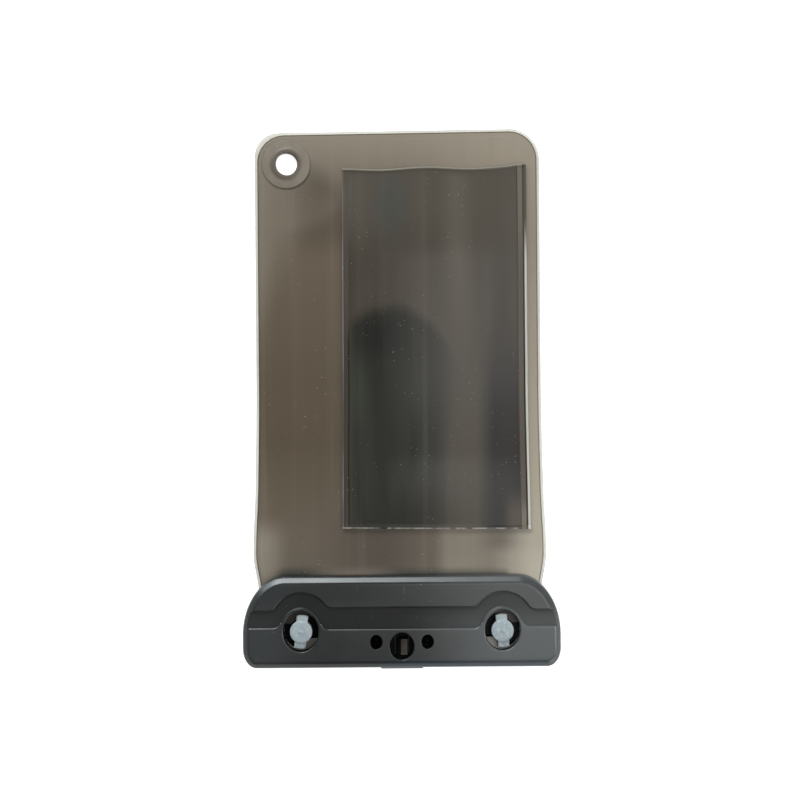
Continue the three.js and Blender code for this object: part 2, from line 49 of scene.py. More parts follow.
camera.rotation_euler = (0, 0, radians(-0.45))
bpy.context.collection.objects.link(camera)
bpy.context.scene.camera = camera
bpy.context.scene.view_settings.view_transform = "Standard"


class Tone:
    """A socket among a material's nodes, so that its sums are written as plain Python."""

    def __init__(self, tree, socket=None):
        self.tree, self.socket = tree, socket

    def node(self, kind, settings=None, sockets=None, output=0):
        node = self.tree.nodes.new("ShaderNode" + kind)
        for name, value in (settings or {}).items():
            if name == "stops":
                stops = node.color_ramp.elements
                while len(stops) < len(value):
                    stops.new(1)
                for stop, (place, colour) in zip(stops, value):
                    stop.position, stop.color = place, colour
            else:
                setattr(node, name, value)
        for name, value in (sockets or {}).items():
            if isinstance(value, Tone):
                self.tree.links.new(value.socket, node.inputs[name])
            else:
                node.inputs[name].default_value = value
        return Tone(self.tree, node.outputs[output]) if node.outputs else node

    def maths(self, operation, other):
        return self.node("Math", {"operation": operation}, {0: self, 1: other})

    def __add__(self, other):
        return self.maths("ADD", other)

    def __sub__(self, other):
        return self.maths("SUBTRACT", other)

    def __rsub__(self, other):
        return self * -1.0 + other

    def __mul__(self, other):
        return self.maths("MULTIPLY", other)

    __radd__, __rmul__ = __add__, __mul__

    def rises(self, low, high):
        """0 up to low, 1 from high, and eased between them. It falls instead where low is the larger."""
        ends = {"Value": self, "From Min": min(low, high), "From Max": max(low, high)}
        if low > high:
            ends |= {"To Min": 1.0, "To Max": 0.0}
        return self.node("MapRange", {"interpolation_type": "SMOOTHSTEP"}, ends)

    def line(self, middle, width):
        """1 at middle, falling to 0 at half a width on each side."""
        return self.rises(middle - width / 2, middle) * self.rises(middle + width / 2, middle)

    def colours(self, at_0, at_1):
        """One colour where this is 0 and the other where it is 1."""
        return self.node("Mix", {"data_type": "RGBA"}, {0: self, 6: at_0, 7: at_1}, 2)

    def stretched(self, x, y, z):
        """A place, with so many steps of a pattern to the metre along each axis."""
        return self.node("VectorMath", {"operation": "MULTIPLY"}, {0: self, 1: (x, y, z)})

    def grain(self, detail=2.0, rough=0.5):
        return self.node("TexNoise", {}, {"Vector": self, "Scale": 1.0, "Detail": detail, "Roughness": rough})

    def along(self, axis):
        """A place's own x, y or z, numbered from 0, in millimetres."""
        return self.node("SeparateXYZ", {}, {0: self}, axis) * 1000

    def attribute(self, name):
        """What the vertices hold under a name, such as how far each lies from an edge."""
        return self.node("Attribute", {"attribute_name": name}, {}, "Fac")

    def surface(self, sockets):
        """Ends a material in its one shader."""
        self.node("OutputMaterial", {}, {"Surface": self.node("BsdfPrincipled", {}, sockets)})


def paint(red, green, blue):
    """A colour as it looks, from 0 to 255, as a shader's own numbers."""
    shares = [value / 255 for value in (red, green, blue)]
    return (*(s / 12.92 if s <= 0.04045 else ((s + 0.055) / 1.055) ** 2.4 for s in shares), 1.0)


def new_material(name):
    material = bpy.data.materials.new(name)
    material.use_nodes = True
    material.node_tree.nodes.clear()
    return material, Tone(material.node_tree)


# The table: a plain pale top under soft light. What the camera sees of it is white, apart from the shadow that
# the case throws.
def white_table():
    material, tone = new_material("table")
    diffuse = tone.node("BsdfDiffuse", {}, {"Color": paint(238, 238, 236)})
    seen = tone.node("LightPath", {}, {}, "Is Camera Ray")
    seen = seen + tone.node("LightPath", {}, {}, "Is Glossy Ray")
    seen = (seen + tone.node("LightPath", {}, {}, "Is Transmission Ray")).maths("MINIMUM", 1.0)
    glow = tone.node("Emission", {}, {"Color": (1, 1, 1, 1), "Strength": seen * 0.72})
    lit = tone.node("AddShader", {}, {0: glow, 1: diffuse})
    under = tone.node("NewGeometry", {}, {}, "Backfacing")
    shader = tone.node("MixShader", {}, {0: under, 1: lit, 2: tone.node("BsdfTransparent")})
    tone.node("OutputMaterial", {}, {"Surface": shader})
    return material


bm = bmesh.new()
bmesh.ops.create_grid(bm, x_segments=1, y_segments=1, size=4, matrix=Matrix.Translation((0, 0, -0.0003)))
table = bpy.data.objects.new("table", bpy.data.meshes.new("table"))
bm.to_mesh(table.data)
bm.free()
table.data.materials.append(white_table())
bpy.context.collection.objects.link(table)

world = bpy.data.worlds.new("room")
world.use_nodes = True
bpy.context.scene.world = world
world.node_tree.nodes.clear()
sky = Tone(world.node_tree)
white = sky.node("LightPath", {}, {}, "Is Camera Ray") + sky.node("LightPath", {}, {}, "Is Transmission Ray")
white = white.maths("MINIMUM", 1.0)
room = white.colours(paint(226, 230, 232), (1, 1, 1, 1))
room = sky.node("Background", {}, {"Color": room, "Strength": 0.24 + white * 0.76})
sky.node("OutputWorld", {}, {"Surface": room})


def softbox(name, place, aim, size, watts, colour):
    """A rectangular light, turned so that it shines on its aim."""
    light = bpy.data.objects.new(name, bpy.data.lights.new(name, "AREA"))
    light.data.shape = "RECTANGLE"
    light.data.size, light.data.size_y = size
    light.data.energy = watts
    light.data.color = colour
    light.location = place
    light.rotation_euler = (Vector(place) - Vector(aim)).to_track_quat("Z", "Y").to_euler()
    bpy.context.collection.objects.link(light)


clamp = (0, -0.05, 0)
softbox("window", (-0.35, 1.1, 0.5), clamp, (0.8, 0.42), 17.5, (0.92, 0.98, 1.0))
softbox("left_softbox", (-0.85, 0.75, 0.4), clamp, (0.5, 0.35), 4.0, (0.84, 0.93, 1.0))
softbox("right_softbox", (0.95, -0.2, 0.6), clamp, (0.3, 0.45), 3.6, (0.93, 0.97, 1.0))
softbox("front_softbox", (0.7, -1.0, 0.4), clamp, (0.6, 0.3), 3.6, (0.86, 0.93, 1.0))
softbox("top_softbox", (0.34, 0.0, 0.9), (0.03, 0, 0), (0.52, 0.8), 3.2, (1.0, 0.98, 0.95))

# The front film: clear flexible sheet, 0.5 mm thick, cut 1.1 mm wider all round than the smoke film that is
# welded to it. It is pinched in the clamp and comes down from there to the table. The films lie a little to the
# left of the clamp, and their far end a little askew. Sizes are in millimetres, lengths from the clamp's foot.
mm = 0.001
clamp_foot, film_shift = 102.1, 0.5
film_width = 110.4
film_end = 205.8
film_mouth = 21.5
film_thick = 0.5
weld_gap = 0.2
end_skew = 1.1
bar_height = 34.5
grip_height = 8.4
eyelet_x, eyelet_y = -43.0, 192.5
eyelet_hole = 4.3


def film_place(x, y, height):
    """Where a film's point lies, from how far it is to the right of the film's middle, from the foot and up."""
    return (x - film_shift) * mm, (y - clamp_foot) * mm, height * mm


def eased(share):
    share = min(1, max(0, share))
    return share * share * (3 - 2 * share)


def half_width(y):
    """Half the films' width: narrow in the clamp, a little flared just past it."""
    flare = 2.2 * eased((y - 26) / 17) - 0.6 * eased((y - 43) / 25.5)
    return film_width / 2 - 1.6 + flare


def from_rim(x, y, inset, corners):
    """How far a point lies inside a film's rim, along its sides, its far end and its two round corners."""
    across = half_width(y) - inset - abs(x)
    along = film_end - inset - y
    radius = corners[0 if x < 0 else 1] - inset
    if across < radius and along < radius:
        return radius - hypot(radius - across, radius - along)
    return min(across, along)


def side_at(y, inset, radius):
    """How far a film's side is from its middle, drawn in at the corner."""
    short = radius - inset - (film_end - inset - y)
    narrowed = radius - inset - sqrt(max(0, (radius - inset) ** 2 - short**2)) if short > 0 else 0
    return half_width(y) - inset - narrowed


def arch(x):
    """1 along the films' middle, falling to 0 at their welds."""
    return max(0, 1 - (x / (film_width / 2 - 2.2)) ** 2)


def edge_height(y):
    """The films' height at their sides: down from the clamp to the table."""
    return grip_height * (1 - eased((y - bar_height) / 75))


def front_height(x, y):
    return edge_height(y) * (1 - 0.7 * eased((y - bar_height) / 37.5) * arch(x))


def back_height(x, y):
    opened = eased((y - bar_height) / 45) * eased((film_end - 2.2 - y) / 50)
    from_disc = hypot(x - eyelet_x, y - eyelet_y) - eyelet_hole - 4.8
    air = 5.5 * opened * arch(x) * eased(from_disc / 20)
    return edge_height(y) + film_thick + weld_gap + air


def pouch_film(inset, height, bead, corners=(9.3, 12)):
    """One of the two welded films: a flat grid drawn to the film's outline, holed at the eyelet and lifted to
    its height, with a bead along the weld. Its columns are closer at the sides, and its rows in the corners."""
    bm = bmesh.new()
    bmesh.ops.create_grid(bm, x_segments=120, y_segments=190, size=1)
    rim = bm.verts.layers.float.new("from_rim")
    start, end = film_mouth + inset, film_end - inset
    corner_rows, corner_length = 0.84, 12
    for vert in bm.verts:
        column, row = vert.co.x, (vert.co.y + 1) / 2
        turn = max(0, row - corner_rows) / (1 - corner_rows)
        y = start + (end - start - corner_length) * min(1, row / corner_rows)
        y = end - corner_length * (1 - cos(pi / 2 * (1 - turn))) if turn else y
        spread = (1 - (1 - abs(column)) ** 1.35) * (1 if column > 0 else -1)
        left, right = -side_at(y, inset, corners[0]), side_at(y, inset, corners[1])
        vert.co = ((left + right) / 2 + (right - left) / 2 * spread, y, 0)

    # The hole lies a little further on than the eyelet here, because the far end is skewed after it is cut.
    hole = Vector((eyelet_x, eyelet_y + 0.8, 0))
    inside = [f for f in bm.faces if (f.calc_center_median() - hole).length < eyelet_hole]
    bmesh.ops.delete(bm, geom=inside, context="FACES")
    for vert in bm.verts:
        away = (vert.co - hole).length
        if vert.is_boundary and away < eyelet_hole + 2:
            vert.co = hole + (vert.co - hole) * eyelet_hole / away

    for vert in bm.verts:
        x, y = vert.co.x, vert.co.y
        vert[rim] = from_rim(x, y, inset, corners)
        y += end_skew * (x / film_width - 0.5) * eased((y - end + 60) / 60)
        ridge = bead * (eased((vert[rim] - 0.3) / 0.5) - eased((vert[rim] - 1.7) / 0.6))
        vert.co = film_place(x, y, height(x, y) + ridge)
    bmesh.ops.solidify(bm, geom=bm.faces, thickness=-film_thick * mm)
    return bm


def make_piece(name, bm, material, slot, body, *nodes):
    """Makes the bmesh an object of its own, which rides on a body in place of CAD nodes."""
    bmesh.ops.recalc_face_normals(bm, faces=bm.faces)
    mesh = bpy.data.meshes.new(name)
    bm.to_mesh(mesh)
    bm.free()
    mesh.shade_smooth()
    mesh.set_sharp_from_angle(angle=radians(35))
    mesh.materials.append(material)
    made = bpy.data.objects.new(name, mesh)
    bpy.context.collection.objects.link(made)
    if "film" not in slot:
        even = made.modifiers.new("even_shading", "WEIGHTED_NORMAL")
        even.weight, even.keep_sharp = 100, True
    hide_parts(*nodes)
    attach(made, body)
    return made


def clear_sheet():
    material, tone = new_material("clear_sheet")
    place = tone.node("TexCoord", {}, {}, "Object")
    cloud = place.stretched(60, 25, 60).grain()
    rim = tone.attribute("from_rim")
    colour = cloud.colours(paint(206, 201, 187), paint(222, 218, 206))
    colour = rim.line(0.0, 0.7).colours(colour, paint(168, 163, 151))
    streaks = place.stretched(900, 14, 60).grain(3.0)
    bump = tone.node("Bump", {}, {"Strength": 0.25, "Distance": 0.00008, "Height": streaks})
    sockets = {"Base Color": colour, "Roughness": 0.16 + cloud * 0.1, "Normal": bump}
    sockets |= {"Alpha": 0.3 + 0.28 * rim.rises(2.4, 1.2), "IOR": 1.46}
    tone.surface(sockets)
    return material


front = pouch_film(0, front_height, 0.0)
front = make_piece("clear_front", front, clear_sheet(), "clear_film", "pouch", "front_film")


# The back film: smoke-tinted sheet of the same thickness, lifted off the front one by a little air. Its rim is
# pressed into the weld, which leaves a low bead all round.
def specks(place, spacing, share):
    """Dust: a few small dots, one here and there in a net of cells."""
    cells = {"Vector": place.stretched(1, 1, 0), "Scale": 1 / (spacing * mm)}
    settings = {"voronoi_dimensions": "2D"}
    away = place.node("TexVoronoi", settings, cells, "Distance")
    chance = place.node("SeparateColor", {}, {0: place.node("TexVoronoi", settings, cells, "Color")}, 2)
    dot = (away - (chance - (1 - share)) * (0.035 / share)).rises(0.04, 0.015)
    patches = place.stretched(70, 50, 70).grain().rises(0.42, 0.62)
    return chance.rises(1 - share, 1 - share + 0.01) * dot * patches


def smoke_sheet():
    material, tone = new_material("smoke_sheet")
    place = tone.node("TexCoord", {}, {}, "Object")
    x, y = place.along(0), place.along(1)
    rim = tone.attribute("from_rim")
    cloud = place.stretched(38, 16, 30).grain(3.0)
    soft_x = x + cloud * 6

    # From the clamp to the far end, in its darker left half and its paler right half: painted shade and painted
    # light, for how the film reflects the lamps.
    along = (y + 70) * (1 / 175)
    left = [(0.0, (96, 88, 76)), (0.1, (98, 87, 74)), (0.3, (82, 71, 57)), (0.55, (92, 81, 66))]
    left += [(0.8, (100, 88, 74)), (0.9, (114, 104, 91)), (0.97, (131, 121, 107))]
    right = [(0.0, (176, 167, 151)), (0.08, (154, 145, 129)), (0.35, (144, 135, 119))]
    right += [(0.75, (128, 117, 101)), (0.97, (142, 131, 116))]

    def ramp(stops):
        stops = [(at, paint(*tint)) for at, tint in stops]
        return tone.node("ValToRGB", {"stops": stops}, {0: along})

    low = y.rises(-40, -50)
    foot = soft_x.rises(15, 22) * 0.36 + soft_x.rises(36, 46) * 0.64
    share = (x + cloud * 14).rises(2, 50) * (1 - low) + low * foot
    colour = share.colours(ramp(left), ramp(right))

    # Painted shade and painted reflections where the air bulges it: dull below the pocket, pale or brown by the
    # eyelet, pale at the left.
    dull = low * soft_x.line(42, 24) * (0.35 + y.rises(-61, -55) * 0.4)
    colour = dull.colours(colour, paint(72, 62, 52))
    slant = x * -0.9 + y * 0.43 + cloud * 9 - 66
    colour = (slant.rises(-5, 9) * y.rises(92, 76) * 0.7).colours(colour, paint(112, 103, 90))
    brown = (x + cloud * 5).rises(-46, -28) * y.rises(50, 64) * (y + x * 0.5 + cloud * 8).rises(80, 68)
    colour = (brown * 0.6).colours(colour, paint(70, 60, 49))
    colour = (low * soft_x.line(-6, 58) * 0.68).colours(colour, paint(70, 61, 54))
    pale_side = (x + cloud * 4).rises(-44, -56) * y.rises(0, 70) * 0.45
    pale_side = pale_side + (x + cloud * 4).rises(-39, -50) * y.rises(-44, -56) * 0.8
    colour = (pale_side * 0.8).colours(colour, paint(142, 132, 119))
    streaks = place.stretched(180, 3, 30).grain(4.0, 0.6)
    colour = (streaks.rises(0.5, 0.8) * 0.1).colours(colour, paint(160, 148, 130))
    colour = (streaks.rises(0.5, 0.2) * 0.1).colours(colour, paint(50, 42, 32))

    # Painted shade from the clamp on it, with a painted paler patch at the left, and the weld's dark line,
    # painted darker for the shade at the film's edge.
    by_clamp = (y + cloud * 4).rises(-61.5, -66.5) * soft_x.rises(46, 42.5) * x.rises(-50, -44)
    patch = x.line(-18, 44)
    colour = (by_clamp * (1 - patch) * 0.9).colours(colour, paint(42, 45, 40))
    colour = (by_clamp * patch * 0.8).colours(colour, paint(122, 110, 98))
    colour = (rim.line(0.15, 0.9) * 0.8).colours(colour, paint(58, 50, 40))
    dust = specks(place, 2.6, 0.12)
    colour = (dust * 0.5).colours(colour, paint(205, 200, 190))
    bump = tone.node("Bump", {}, {"Strength": 0.3, "Distance": 0.00008, "Height": streaks + dust * 3})
    sockets = {"Base Color": colour, "Roughness": 0.26 + cloud * 0.1, "Normal": bump}
    sockets |= {"Alpha": 0.95, "Specular IOR Level": 0.4}
    tone.surface(sockets)
    return material


back = pouch_film(1.1, back_height, 0.07, (11.6, 12))
back = make_piece("smoke_back", back, smoke_sheet(), "smoke_film", "pouch", "back_film")

# The pocket: a second smoke sheet, welded on the back film down both sides and along its foot. Its mouth is
# cut in a slow wave, its foot and left edge slant a little, and its right edge rolls up into a thin ridge.
pocket_left, pocket_right = -21.6, 49.9
pocket_foot = 52.15


def pocket_mouth(x):
    far = film_end + end_skew * (x / film_width - 0.5)
    return far - 14.9 + 0.4 * cos(2 * pi * (x - 11) / 34) + 0.9 * eased((x - 41) / 8)


bm = bmesh.new()
bmesh.ops.create_grid(bm, x_segments=100, y_segments=150, size=1)
edge_names = ("from_mouth", "from_left", "from_foot")
edges = [bm.verts.layers.float.new(name) for name in edge_names]
for vert in bm.verts:
    spread = [(1 - (1 - abs(c)) ** 1.5) * (1 if c > 0 else -1) for c in (vert.co.x, vert.co.y)]
    x_left = pocket_left + 0.25 * (1 + spread[1])
    x = (x_left + pocket_right) / 2 + (pocket_right - x_left) / 2 * spread[0]
    y_foot = pocket_foot - 0.4 * (1 + spread[0])
    mouth = pocket_mouth(x)
    y = (y_foot + mouth) / 2 + (mouth - y_foot) / 2 * spread[1]
    puff = 0.8 * max(0, 1 - spread[0] ** 2) * eased((y - y_foot) / 30)
    from_left, from_right, from_foot = x - x_left, pocket_right - x, y - y_foot
    ridge = 0.45 * eased(from_right / 0.5) * eased((1.5 - from_right) / 0.7) * eased(from_foot / 3)
    off_seams = (abs(from_left - 2.3), abs(from_right - 3.6))
    seams = -0.1 * sum(1 - min(1, away / 0.4) for away in off_seams)
    foot = 0.16 * eased((1.4 - from_foot) / 0.6)
    ruffle = 0.1 * noise.noise(Vector((x / 5, y / 28, 3.1))) * eased(from_foot / 8)
    lip = 0.16 * eased((1.2 - (mouth - y)) / 0.9)
    for edge, away in zip(edges, (mouth - y, from_left, from_foot)):
        vert[edge] = away
    height = back_height(x, y) + film_thick + weld_gap + puff + ridge + seams + foot + max(0, ruffle) + lip
    vert.co = film_place(x, y, height)
bmesh.ops.solidify(bm, geom=bm.faces, thickness=-film_thick * mm)


def pocket_sheet():
    material, tone = new_material("pocket_sheet")
    place = tone.node("TexCoord", {}, {}, "Object")
    x, y = place.along(0), place.along(1)
    mouth, left, foot = (tone.attribute(name) for name in edge_names)
    cloud = place.stretched(45, 30, 30).grain(3.0)
    wide = place.stretched(20, 12, 30).grain(2.0)
    # Its tint, paler towards the mouth, with a painted band of reflected light.
    colour = cloud.colours(paint(57, 50, 42), paint(69, 62, 53))
    colour = (y.rises(48, 76) * 0.8).colours(colour, paint(77, 70, 61))
    band = (x + wide * 4).line(25, 18) * y.rises(0, 60) * mouth.rises(0.5, 4)
    colour = (band * 0.4).colours(colour, paint(98, 91, 80))

    # The painted dark reflection that fills its lower middle, arched, with two darker spots and a paler column.
    drift = (wide - 0.5) * 14
    reach = x + 0.5
    bow = reach * reach * (reach.rises(-6, 6) * 0.026 + 0.02)
    dark = (y + drift + bow).rises(38.5, 30.5) * (x + drift * 0.4).rises(24, 8)
    dark = dark * x.rises(-20.5, -16)
    colour = (dark * 0.94).colours(colour, paint(27, 27, 22))
    spot = (x + drift).line(-9, 34) * (y + bow).line(24, 26)
    colour = (spot * dark * 0.7).colours(colour, paint(14, 14, 12))
    spot = (x + drift * 0.5).line(10, 22) * y.line(-12, 76)
    colour = (spot * 0.5).colours(colour, paint(14, 15, 14))
    colour = (x.line(-13, 14) * y.line(-20, 90) * 0.25).colours(colour, paint(66, 66, 60))

    # Painted shade on its right side, going to near black, with a brown corner. The left is greener, the top
    # cooler.
    shade = x.line(39.5, 14) * y.line(32, 80)
    colour = (shade * 0.4).colours(colour, paint(34, 30, 27))
    side = (x + drift * 0.3).rises(28, 37) * (y + drift).rises(38, -5)
    colour = (side * 0.9).colours(colour, paint(6, 6, 6))
    corner = x.rises(38, 43) * y.rises(-34, -46)
    colour = (corner * 0.5).colours(colour, paint(86, 73, 62))
    green = x.line(-16, 13) * (y + drift).line(2, 50)
    colour = (green * 0.5).colours(colour, paint(58, 61, 52))
    cool = (x + drift * 0.5).line(-3, 24) * (y + drift).line(74, 44)
    colour = (cool * 0.5).colours(colour, paint(56, 62, 60))
    # Painted shade under the mouth.
    colour = (mouth.rises(5, 1) * 0.12).colours(colour, paint(46, 42, 36))
    streaks = place.stretched(170, 3, 30).grain(4.0, 0.6)
    colour = (streaks.rises(0.5, 0.8) * 0.07).colours(colour, paint(140, 134, 122))
    colour = (streaks.rises(0.5, 0.2) * 0.07).colours(colour, paint(34, 30, 26))

    # The flat strip between its two fine lines at the right, the weld at the left, painted highlights along the
    # lit edges of its left side, ridge, foot and mouth, and a painted shadow under the mouth's edge.
    strip = x.rises(45.7, 46.1) * x.rises(48.3, 47.9)
    strip_tone = (y.rises(40, 80) + y.rises(-38, -46)).colours(paint(76, 67, 55), paint(104, 97, 84))
    colour = (strip * 0.8).colours(colour, strip_tone)
    colour = (x.line(45.8, 0.8) * 0.75).colours(colour, paint(34, 28, 24))
    colour = (x.line(48.0, 0.7) * 0.75).colours(colour, paint(38, 32, 27))
    weld = left.rises(2.5, 2.1)
    weld_tone = y.rises(15, 40).colours(paint(54, 51, 42), paint(74, 67, 57))
    colour = (weld * 0.6).colours(colour, weld_tone)
    colour = (left.line(2.3, 1.2) * y.rises(30, 20) * 0.9).colours(colour, paint(14, 14, 12))
    lit = place.stretched(30, 24, 30).grain(3.0).rises(0.35, 0.6) * 0.5 + 0.15
    colour = (left.line(0.2, 0.6) * lit).colours(colour, paint(150, 145, 150))
    ridge = x.rises(48.3, 48.7) * y.rises(70, 50)
    colour = (ridge * 0.9).colours(colour, paint(196, 193, 186))
    foot_highlight = foot.line(0.3, 0.8) * place.stretched(260, 100, 50).grain(3.0).rises(0.35, 0.6)
    colour = (foot_highlight * 0.7).colours(colour, paint(178, 172, 160))
    colour = (mouth.line(0.3, 1.1) * 0.7).colours(colour, paint(158, 152, 138))
    colour = (mouth.line(1.3, 1.2) * 0.4).colours(colour, paint(50, 45, 38))
    dust = specks(place, 2.2, 0.2)
    colour = (dust * 0.5).colours(colour, paint(196, 194, 188))
    bump = tone.node("Bump", {}, {"Strength": 0.3, "Distance": 0.00008, "Height": streaks + dust * 3})
    sockets = {"Base Color": colour, "Roughness": 0.25 + cloud * 0.1, "Normal": bump}
    sockets |= {"Alpha": 0.97, "Specular IOR Level": 0.34}
    tone.surface(sockets)
    return material


pocket = make_piece("smoke_pocket", bm, pocket_sheet(), "smoke_film", "pouch", "pocket_film")


# The eyelet: a thick moulded disc in the same smoke plastic, welded into the corner, with a raised collar round
# its hole and a fine step at its rim.
def turned(profile, steps=96):
    """A profile of (radius, height) in millimetres, spun about Z. Ends on the axis close it there."""
    bm = bmesh.new()
    points = [bm.verts.new((radius * mm, 0, height * mm)) for radius, height in profile]
    for first, second in zip(points, points[1:]):
        bm.edges.new((first, second))
    spin = {"axis": (0, 0, 1), "cent": (0, 0, 0), "angle": 2 * pi, "steps": steps, "use_merge": True}
    bmesh.ops.spin(bm, geom=bm.verts[:] + bm.edges[:], **spin)
    bmesh.ops.remove_doubles(bm, verts=bm.verts, dist=1e-6)
    bmesh.ops.recalc_face_normals(bm, faces=bm.faces)
    return bm


def round_over(radius, height, by, start, stop, steps=4):
    """Points of a small rounding, about a centre, from one angle to another in degrees."""
    angles = [radians(start + (stop - start) * i / steps) for i in range(steps + 1)]
    return [(radius + by * cos(a), height + by * sin(a)) for a in angles]


def smoke_moulding():
    material, tone = new_material("smoke_moulding")
    place = tone.node("TexCoord", {}, {}, "Object")
    middle = film_place(eyelet_x, eyelet_y, 0)
    centre = place.node("VectorMath", {"operation": "SUBTRACT"}, {0: place, 1: middle})
    centre = centre.stretched(1000, 1000, 0)
    away = place.node("VectorMath", {"operation": "LENGTH"}, {0: centre}, 1)
    cloud = place.stretched(300, 120, 100).grain(3.0)
    colour = cloud.colours(paint(110, 100, 87), paint(128, 118, 105))
    colour = (away.rises(6.9, 5.3) * 0.6).colours(colour, paint(62, 55, 47))
    colour = (away.line(9.3, 0.4) * 0.35).colours(colour, paint(70, 63, 55))
    fine = place.stretched(2500, 2500, 2500).grain(2.0)
    bump = tone.node("Bump", {}, {"Strength": 0.2, "Distance": 0.00006, "Height": fine})
    sockets = {"Base Color": colour, "Roughness": 0.32 + cloud * 0.15, "Normal": bump, "Alpha": 0.97}
    tone.surface(sockets)
    return material


disc_z = back_height(eyelet_x, eyelet_y) + film_thick + weld_gap
profile = [(eyelet_hole, disc_z), (9.4, disc_z), (9.4, disc_z + 0.06)]
profile += round_over(9.3, disc_z + 0.06, 0.1, 0, 90, 3) + [(8.4, disc_z + 0.27), (7.4, disc_z + 0.37)]
profile += [(6.6, disc_z + 0.46), (6.1, disc_z + 0.58), (5.7, disc_z + 0.74), (5.3, disc_z + 0.8)]
profile += round_over(eyelet_hole + 0.35, disc_z + 0.4, 0.35, 80, 180) + [(eyelet_hole, disc_z)]
bm = turned(profile)
for vert in bm.verts:
    off_centre = 0.45 * eased((9 - hypot(vert.co.x, vert.co.y) / mm) / 2.5)
    vert.co.x += off_centre * mm
bmesh.ops.translate(bm, verts=bm.verts, vec=film_place(eyelet_x, eyelet_y, 0))
make_piece("eyelet", bm, smoke_moulding(), "smoke_film", "pouch", "eyelet_disc")

# The rear bar: moulded black plastic with a fine satin grain, 120 mm wide, rounded over along its outer edge.
# A shallow groove runs along its face and humps over each lock. It is open at both locks, at the snap in the
# middle and at two locating pins, and each lock hole has two ledges low inside it.
bar_width = 120.0
rear_inner, rear_face = 9.8, 16.0
groove_depth = 0.7
lock_x, lock_y, lock_hole_y = 37.9, 13.85, 14.2
lock_hole = (13.3, 15.3)
ledge_height = 12.6
snap_y = 8.4
pin_x, pin_y = 9.65, 10.0
seal_channel = (-55.4, 55.4, 23.3, 26.7)
keeper_channel = (-48.3, 48.3, 28.6, 31.4)


class Outline:
    """An outline drawn point by point on a flat plane, in millimetres, and filled."""

    def __init__(self, x, y):
        self.bm = bmesh.new()
        self.tip = self.bm.verts.new((x, y, 0))

    def line(self, x, y):
        self.tip = bmesh.ops.extrude_vert_indiv(self.bm, verts=[self.tip])["verts"][0]
        self.tip.co = (x, y, 0)
        return self

    def arc(self, x, y, turn, steps=10):
        """Swings the tip about a centre, by so many degrees, anticlockwise if positive."""
        swing = {"cent": (x, y, 0), "axis": (0, 0, 1), "angle": radians(turn), "steps": steps}
        self.tip = bmesh.ops.spin(self.bm, geom=[self.tip], **swing)["geom_last"][0]
        return self

    def filled(self):
        bmesh.ops.remove_doubles(self.bm, verts=self.bm.verts, dist=1e-4)
        bmesh.ops.contextual_create(self.bm, geom=self.bm.edges)
        bmesh.ops.recalc_face_normals(self.bm, faces=self.bm.faces)
        return self.bm


def oval(width, height, x, y, steps=64):
    """A filled oval about a point."""
    bm = bmesh.new()
    bmesh.ops.create_circle(bm, cap_ends=True, segments=steps, radius=0.5)
    bmesh.ops.scale(bm, verts=bm.verts, vec=(width, height, 1))
    bmesh.ops.translate(bm, verts=bm.verts, vec=(x, y, 0))
    return bm


def oblong(x0, x1, y0, y1):
    return Outline(x0, y0).line(x1, y0).line(x1, y1).line(x0, y1).filled()


def raised(bm, levels):
    """A solid on a filled outline. Each level is a height and how far the outline has grown outwards there."""
    face = next(iter(bm.faces))
    face.normal_update()
    if face.normal.z < 0:
        bmesh.ops.reverse_faces(bm, faces=[face])
    grown = levels[0][1]
    outwards = {}
    for corner in face.loops:
        along = (corner.link_loop_next.vert.co - corner.link_loop_prev.vert.co).normalized()
        outwards[corner.vert] = Vector((along.y, -along.x, 0))
    for vert, out in outwards.items():
        vert.co += out * grown
        vert.co.z = levels[0][0]
    for step, (height, growth) in enumerate(levels[1:]):
        below = {vert.co.copy().freeze(): out for vert, out in outwards.items()}
        made = bmesh.ops.extrude_face_region(bm, geom=[face])["geom"]
        if step:
            bmesh.ops.delete(bm, geom=[face], context="FACES_ONLY")
        face = next(part for part in made if isinstance(part, bmesh.types.BMFace))
        outwards = {vert: below[vert.co.copy().freeze()] for vert in face.verts}
        for vert, out in outwards.items():
            vert.co += out * (growth - grown)
            vert.co.z = height
        grown = growth
    bmesh.ops.recalc_face_normals(bm, faces=bm.faces)
    return bm


def rounding(top, by, steps=6, way=-1):
    """Levels that round an edge over at its top, drawing in, or out where way is 1."""
    angles = [pi / 2 * i / steps for i in range(steps + 1)]
    return [(top - by + by * sin(a), way * by * (1 - cos(a))) for a in angles]


def core(outline, floor, face, edge):
    """What cuts a hole down to a floor, with its edge at the face a little eased."""
    return raised(outline, [(floor, 0), *rounding(face, edge, 4, 1), (face + 3, edge)])


def cut(bm, *cores):
    """Takes cores out of a solid, as they keep the plastic out of a mould."""
    shapes = []
    for solid in (bm, *cores):
        mesh = bpy.data.meshes.new("blank")
        solid.to_mesh(mesh)
        solid.free()
        shapes.append(bpy.data.objects.new("blank", mesh))
        bpy.context.collection.objects.link(shapes[-1])
    for shape in shapes[1:]:
        modifier = shapes[0].modifiers.new("core", "BOOLEAN")
        modifier.operation, modifier.solver, modifier.object = "DIFFERENCE", "EXACT", shape
    left = bmesh.new()
    left.from_object(shapes[0], bpy.context.evaluated_depsgraph_get())
    for shape in shapes:
        bpy.data.meshes.remove(shape.data)
    return left


def joined(*solids):
    """Several solids as one mesh."""
    whole = solids[0]
    for solid in solids[1:]:
        mesh = bpy.data.meshes.new("blank")
        solid.to_mesh(mesh)
        solid.free()
        whole.from_mesh(mesh)
        bpy.data.meshes.remove(mesh)
    return whole


